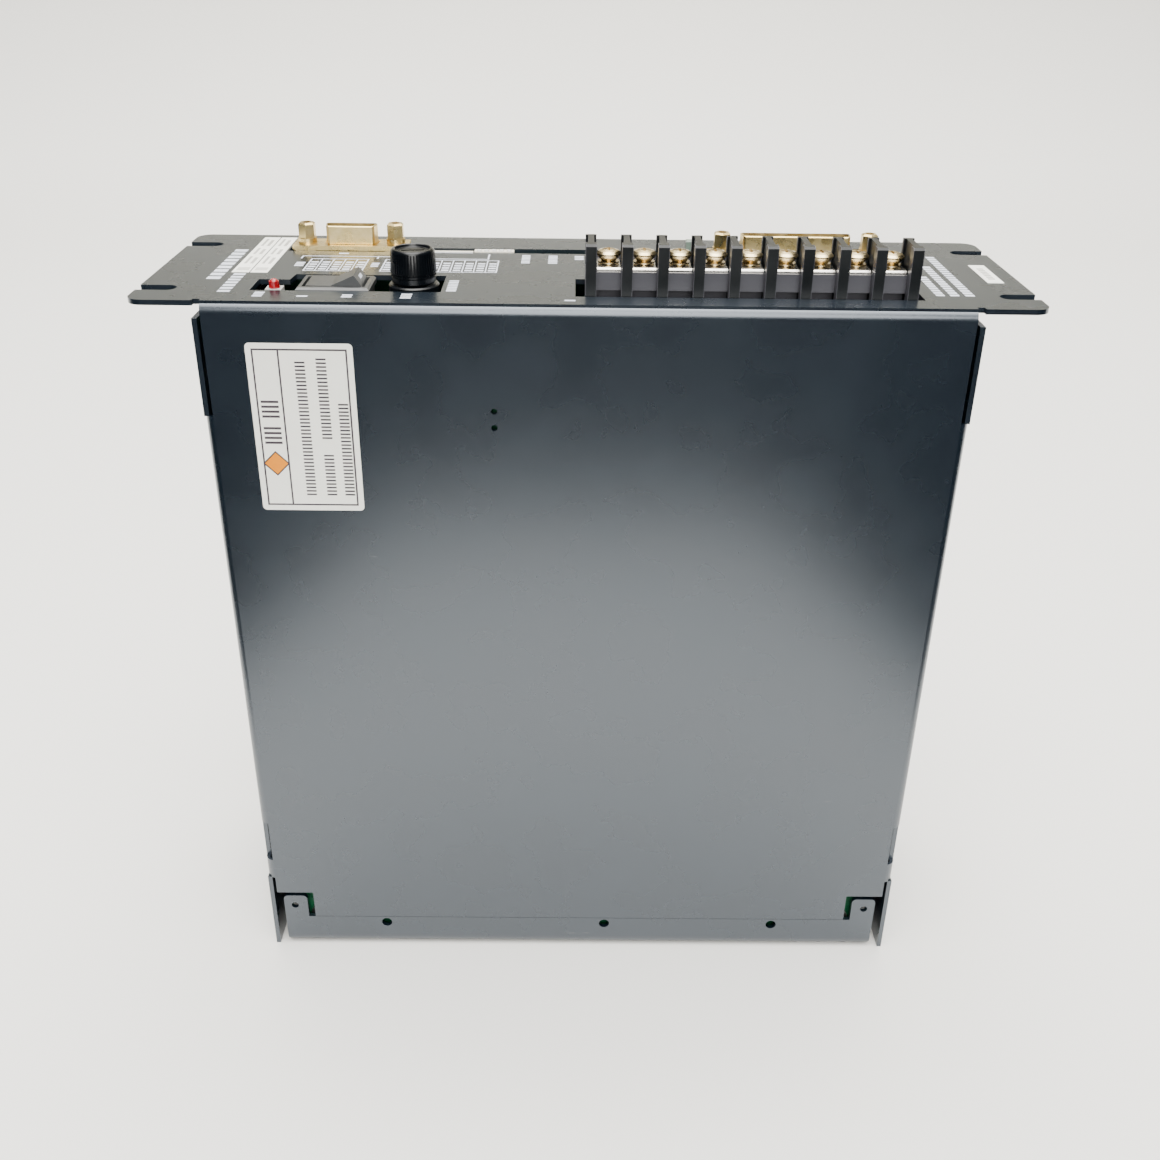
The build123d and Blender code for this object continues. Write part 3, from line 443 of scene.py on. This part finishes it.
# brackets above the two tables
print_and_highlight_bars += [(-88.9, -52.0, 52.7, 53.2), (-88.9, -88.4, 49.8, 52.7), (-65.5, -65.0, 50.2, 52.7),
               (-52.0, -30.8, 50.8, 51.3), (-31.3, -30.8, 51.3, 57.4)]
# painted highlight: a light bar along the front edge of the connector slot beside the option
# socket
print_and_highlight_bars.append((-57.0, -36.4, 58.9, 59.35))
# captions of the lamp, switch, fuse, terminals and connectors
for x_low, x_high, low, high in (
        (-94.0, -91.2, 5.6, 11.2), (-81.6, -78.6, 5.8, 8.8), (-69.2, -66.3, 5.6, 9.2),
        (-52.8, -49.8, 5.2, 10.6), (-40.7, -37.9, 13.2, 25.4), (-7.0, -4.0, 4.4, 7.4),
        (-78.2, -75.1, 56.0, 58.9), (-20.7, -18.1, 46.6, 58.0), (-12.4, -9.6, 46.6, 57.6),
        (-4.2, -1.4, 51.8, 58.0), (-89.1, -86.4, 40.2, 46.4), (-66.1, -63.8, 40.2, 46.2)):
    print_and_highlight_bars += dashes(x_low, x_high, low, high, 1.25, 0.55)
# plain bars along both ears
print_and_highlight_bars += dashes(-111.3, -107.3, 23.8, 60.6, 2.9, 1.3)
print_and_highlight_bars += dashes(-104.7, -101.2, 10.0, 31.0, 2.0, 1.1)
print_and_highlight_bars += dashes(107.3, 110.0, 14.2, 62.0, 1.7, 0.8)
print_and_highlight_bars += dashes(103.0, 105.6, 14.2, 50.0, 1.7, 0.8)
print_and_highlight_bars += dashes(98.9, 101.4, 14.2, 38.0, 1.7, 0.8)
flat_bars("panel_print_and_highlight", print_and_highlight_bars, 0.0, INK, white_ink_and_highlight)

sticker_bars = []
for x_low in (-105.0, -99.6):
    sticker_bars += dashes(x_low, x_low + 3.7, 34.0, 38.0, 0.7, 0.5)
    for low, high in ((42.0, 51.0), (54.0, 62.0), (65.0, 74.5)):
        sticker_bars.append((x_low + 0.4, x_low + 1.2, low, high))
        sticker_bars.append((x_low + 2.2, x_low + 3.2, low, high - 1.5))
sticker_bars += dashes(119.4, 121.4, 33.0, 47.0, 1.3, 0.7)
flat_bars("sticker_print", sticker_bars, STICKER, INK, pale_ink)

# ---------------------------------------------------------------- side label
film = flat_bars("side_label_film", [(-96.0, -66.0, -62.5, -11.5)], 0.0, FILM, label_film,
                 upright=True)
corners = []
for edge in film.data.edges:
    first_point, second_point = (film.data.vertices[i].co for i in edge.vertices)
    if abs(first_point.y - second_point.y) > FILM / 2 * MM:
        corners.append(edge.index)
choose(film, "EDGE", corners)
bpy.ops.mesh.bevel(offset=LABEL_CORNER * MM, segments=4, affect="EDGES")
bpy.ops.object.mode_set(mode="OBJECT")
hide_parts("side_label")

label_bars = outline(-94.4, -67.6, -60.9, -13.1, 0.5)
label_bars.append((-87.2, -86.7, -60.4, -13.6))
for low in (-41.5, -33.5):
    label_bars += dashes(-93.2, -88.2, low, low + 6.6, 0.7, 0.78)
for x_low, low, high in ((-82.6, -57.6, -16.4), (-76.6, -57.6, -44.5), (-76.6, -39.8, -15.4),
                         (-71.3, -57.6, -29.0)):
    label_bars += dashes(x_low, x_low + 2.9, low, high, 0.5, 0.62)
flat_bars("label_print", label_bars, FILM, LABEL_INK, dark_ink, upright=True)


def diamond(name, reach, lift, material):
    """Plain diamond on the side label."""
    spot = Vector((-90.6 * MM, (NEAR - lift) * MM, (HEIGHT - 47.6) * MM))
    deselect()
    bpy.ops.mesh.primitive_circle_add(vertices=4, radius=reach * MM, fill_type="NGON",
                                      location=spot, rotation=(math.pi / 2, 0, 0))
    piece = bpy.context.object
    piece.name = name
    bpy.ops.object.transform_apply(location=True, rotation=True, scale=True)
    bpy.ops.object.mode_set(mode="EDIT")
    thicken((0, -DIAMOND_THICKNESS * MM, 0))
    return settle(piece, material)


diamond("diamond_border", 3.9, FILM, dark_ink)
diamond("diamond_mark", 3.35, FILM + DIAMOND_THICKNESS, amber_ink)

# ---------------------------------------------------------------- knurled fuse cap
def turned_piece(name, x, depth, steps, segments):
    """Round piece about a vertical axis, raised ring by ring from (radius, height) steps."""
    spot = place_on_panel(x, depth)
    radius, start = steps[0]
    deselect()
    bpy.ops.mesh.primitive_circle_add(vertices=segments, radius=radius * MM, fill_type="NGON",
                                      location=spot + Vector((0, 0, start * MM)))
    piece = bpy.context.object
    piece.name = name
    bpy.ops.object.transform_apply(location=True, rotation=True, scale=True)
    bpy.ops.object.mode_set(mode="EDIT")
    bpy.ops.mesh.select_all(action="SELECT")
    for next_radius, level in steps[1:]:
        bpy.ops.mesh.extrude_region_move(
            TRANSFORM_OT_translate={"value": (0, 0, (level - start) * MM)})
        grow = next_radius / radius
        bpy.ops.transform.resize(value=(grow, grow, 1),
                                 center_override=spot + Vector((0, 0, level * MM)))
        radius, start = next_radius, level
    bpy.ops.mesh.select_all(action="SELECT")
    bpy.ops.mesh.normals_make_consistent(inside=False)
    bpy.ops.object.mode_set(mode="OBJECT")
    return piece


def side_faces(piece, x, depth, low, high, every):
    """Side faces whose middle lies between two heights, one in every few around the axis."""
    axis = place_on_panel(x, depth)
    found = []
    for face in piece.data.polygons:
        middle = face.center - axis
        if low * MM < middle.z < high * MM and abs(face.normal.z) < 0.5:
            found.append((math.atan2(middle.y, middle.x), face.index))
    return [index for order, (turn, index) in enumerate(sorted(found)) if order % every == 0]


# (radius, height) steps of the cap from the inside of its stem up to its top
stem = [(2.68, -2.8), (2.68, -8.0), (3.6, -8.0), (3.6, 0.8)]
smooth_band = [(5.9, 0.8), (6.3, 1.2), (6.35, 2.6), (6.15, 2.75)]
bead = [(6.15, 2.9), (6.5, 3.0), (6.5, 3.5), (6.2, 3.6), (6.2, 3.75)]
grip = [(6.62, 3.95), (6.28, 9.6), (6.15, 10.0)]
rim = [(5.75, 10.4), (5.3, 10.5), (5.05, 10.35), (4.9, 9.8)]
disc = [(4.0, 9.78), (3.85, 9.95), (3.7, 9.95), (3.55, 9.78), (0.4, 9.76)]
cap = turned_piece("fuse_cap_knurled", FUSE_X, FUSE_DEPTH,
                   stem + smooth_band + bead + grip + rim + disc, segments=96)
# grooves in the grip and notches in the bead, each between two heights
for low, high, depth_in in ((3.96, 9.59, 0.30), (3.01, 3.49, 0.24)):
    choose(cap, "FACE", side_faces(cap, FUSE_X, FUSE_DEPTH, low, high, every=2))
    bpy.ops.mesh.inset(thickness=0.03 * MM, depth=-depth_in * MM, use_individual=True)
    bpy.ops.object.mode_set(mode="OBJECT")
# screwdriver slot across the disc
deselect()
bpy.ops.mesh.primitive_cube_add(size=1, location=place_on_panel(FUSE_X, FUSE_DEPTH, 9.6))
cutter = bpy.context.object
cutter.scale = (6.6 * MM, 1.3 * MM, 1.0 * MM)
cutter.rotation_euler = (0, 0, 0.12)
pick(cap)
cut = cap.modifiers.new("slot", "BOOLEAN")
cut.object = cutter
cut.operation = "DIFFERENCE"
bpy.ops.object.modifier_apply(modifier="slot")
pick(cutter)
bpy.ops.object.delete()
pick(cap)
bpy.ops.object.shade_smooth_by_angle(angle=math.radians(28))
settle(cap, fuse_plastic, body="fuse_cap")
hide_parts("fuse_cap")

# ---------------------------------------------------------------- glass fuse
glass = turned_piece("fuse_glass_tube", FUSE_X, FUSE_DEPTH, [
    (2.3, -22.6), (2.35, -22.4), (2.35, -3.8), (2.3, -3.6)], 48)
pick(glass)
bpy.ops.object.shade_smooth_by_angle(angle=math.radians(40))
settle(glass, fuse_glass, body="fuse")
ends = turned_piece("fuse_end_caps", FUSE_X, FUSE_DEPTH, [
    (2.4, -8.0), (2.6, -8.0), (2.6, -3.3), (2.45, -3.1), (0.3, -3.1)], 48)
pick(ends)
bpy.ops.object.duplicate(linked=False)
lower_end = bpy.context.object
lower_end.location.z = -FUSE_END_SPACING * MM
deselect()
ends.select_set(True)
lower_end.select_set(True)
bpy.context.view_layer.objects.active = ends
bpy.ops.object.join()
bpy.ops.object.shade_smooth_by_angle(angle=math.radians(40))
settle(ends, nickel_plate, body="fuse")
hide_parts("fuse")

# ---------------------------------------------------------------- rocker mark
# a thin bar let into the raised end of the rocker, square to its sloping face
deselect()
bpy.ops.mesh.primitive_cube_add(size=1, location=place_on_panel(-65.89, 20.9, 2.2))
mark = bpy.context.object
mark.name = "rocker_mark"
mark.scale = (0.12 * MM, 3.4 * MM, 1.1 * MM)
mark.rotation_euler = (0, -math.atan2(0.56, 0.83), 0)
settle(mark, white_ink_and_highlight, body="rocker")

# ---------------------------------------------------------------- camera
camera_place = Vector((-0.0050, -0.3747, 0.3290))
camera_pitch = math.radians(28.07)
camera_yaw = math.radians(-0.57)
camera_roll = math.radians(0.81)
deselect()
bpy.ops.object.camera_add(location=camera_place)
camera = bpy.context.object
camera.name = "camera"
turn = Matrix.Rotation(camera_yaw, 4, "Z")
tip = Matrix.Rotation(math.pi / 2 - camera_pitch, 4, "X")
roll = Matrix.Rotation(camera_roll, 4, "Z")
camera.matrix_world = Matrix.Translation(camera_place) @ turn @ tip @ roll
camera.data.sensor_width = 36
camera.data.lens = 38.34
camera.data.clip_start = 0.01
bpy.context.scene.camera = camera

# ---------------------------------------------------------------- floor and light
def make_floor_with_painted_shade():
    """Matt pale paper, with painted shade: darker and warmer as the backdrop rises, where less
    light falls.
    """
    material = bpy.data.materials.new("pale_floor")
    material.use_nodes = True
    tree = material.node_tree
    shader = tree.nodes["Principled BSDF"]
    place = tree.nodes.new("ShaderNodeTexCoord")
    axes = tree.nodes.new("ShaderNodeSeparateXYZ")
    rise = tree.nodes.new("ShaderNodeMapRange")
    rise.inputs["From Min"].default_value = 0.05
    rise.inputs["From Max"].default_value = 0.75
    # painted shade: the floor colour darkens and warms up the backdrop
    painted_shade_mix = tree.nodes.new("ShaderNodeMix")
    painted_shade_mix.data_type = "RGBA"
    painted_shade_mix.inputs["A"].default_value = (0.84, 0.83, 0.80, 1)
    painted_shade_mix.inputs["B"].default_value = (0.25, 0.235, 0.18, 1)
    tree.links.new(place.outputs["Object"], axes.inputs[0])
    tree.links.new(axes.outputs["Z"], rise.inputs["Value"])
    tree.links.new(rise.outputs[0], painted_shade_mix.inputs["Factor"])
    tree.links.new(painted_shade_mix.outputs["Result"], shader.inputs["Base Color"])
    shader.inputs["Roughness"].default_value = 0.7
    shader.inputs["Specular IOR Level"].default_value = 0.2
    return material


# narrow in front, wide behind, rising into the backdrop at its far edge
deselect()
bpy.ops.mesh.primitive_plane_add(size=0.23, location=(0, -0.305, 0))
floor = bpy.context.object
floor.name = "floor"
bpy.ops.object.transform_apply(location=True, rotation=True, scale=True)
far_edge = [edge.index for edge in floor.data.edges
            if all(floor.data.vertices[i].co.y > -0.25 for i in edge.vertices)]
choose(floor, "EDGE", far_edge)
bpy.ops.transform.resize(value=(1.6, 1, 1), center_override=(0, 0, 0))
for run, rise, widen in ((0.065, 0, 1.42), (0.105, 0, 1.45), (0.10, 0, 2.6), (0.20, 0, 2.2),
                         (1.4, 0, 1.2), (0, 2.4, 1)):
    bpy.ops.mesh.extrude_region_move(TRANSFORM_OT_translate={"value": (0, run, rise)})
    bpy.ops.transform.resize(value=(widen, 1, 1), center_override=(0, 0, 0))
bpy.ops.mesh.select_mode(type="VERT")
bpy.ops.object.mode_set(mode="OBJECT")
sweep = floor.modifiers.new("sweep", "BEVEL")
sweep.width = 0.6
sweep.segments = 16
sweep.limit_method = "ANGLE"
bpy.ops.object.modifier_apply(modifier="sweep")
bpy.ops.object.shade_smooth()
floor.data.materials.append(make_floor_with_painted_shade())


def soft_light(name, place, target, size, power, colour=(1, 0.985, 0.95)):
    """Large area light aimed at a point."""
    deselect()
    bpy.ops.object.light_add(type="AREA", location=place)
    light = bpy.context.object
    light.name = name
    light.data.shape = "DISK"
    light.data.size = size
    light.data.energy = power
    light.data.color = colour
    light.rotation_euler = (Vector(target) - Vector(place)).to_track_quat("-Z", "Y").to_euler()


soft_light("overhead", (0.0, 0.30, 2.1), (0, 0.15, 0), 3.0, 125)
soft_light("front_top", (0.0, -0.85, 1.8), (0, 0.0, 0), 1.8, 56)
soft_light("front", (0.1, -1.7, 0.85), (0, 0.0, 0.1), 1.2, 30)
soft_light("back_fill", (0.0, 0.7, 1.9), (0, 1.6, 0.4), 1.2, 30)

world = bpy.data.worlds.new("studio")
bpy.context.scene.world = world
world.use_nodes = True
world.node_tree.nodes["Background"].inputs["Color"].default_value = (0.70, 0.85, 1.0, 1)
world.node_tree.nodes["Background"].inputs["Strength"].default_value = 0.06
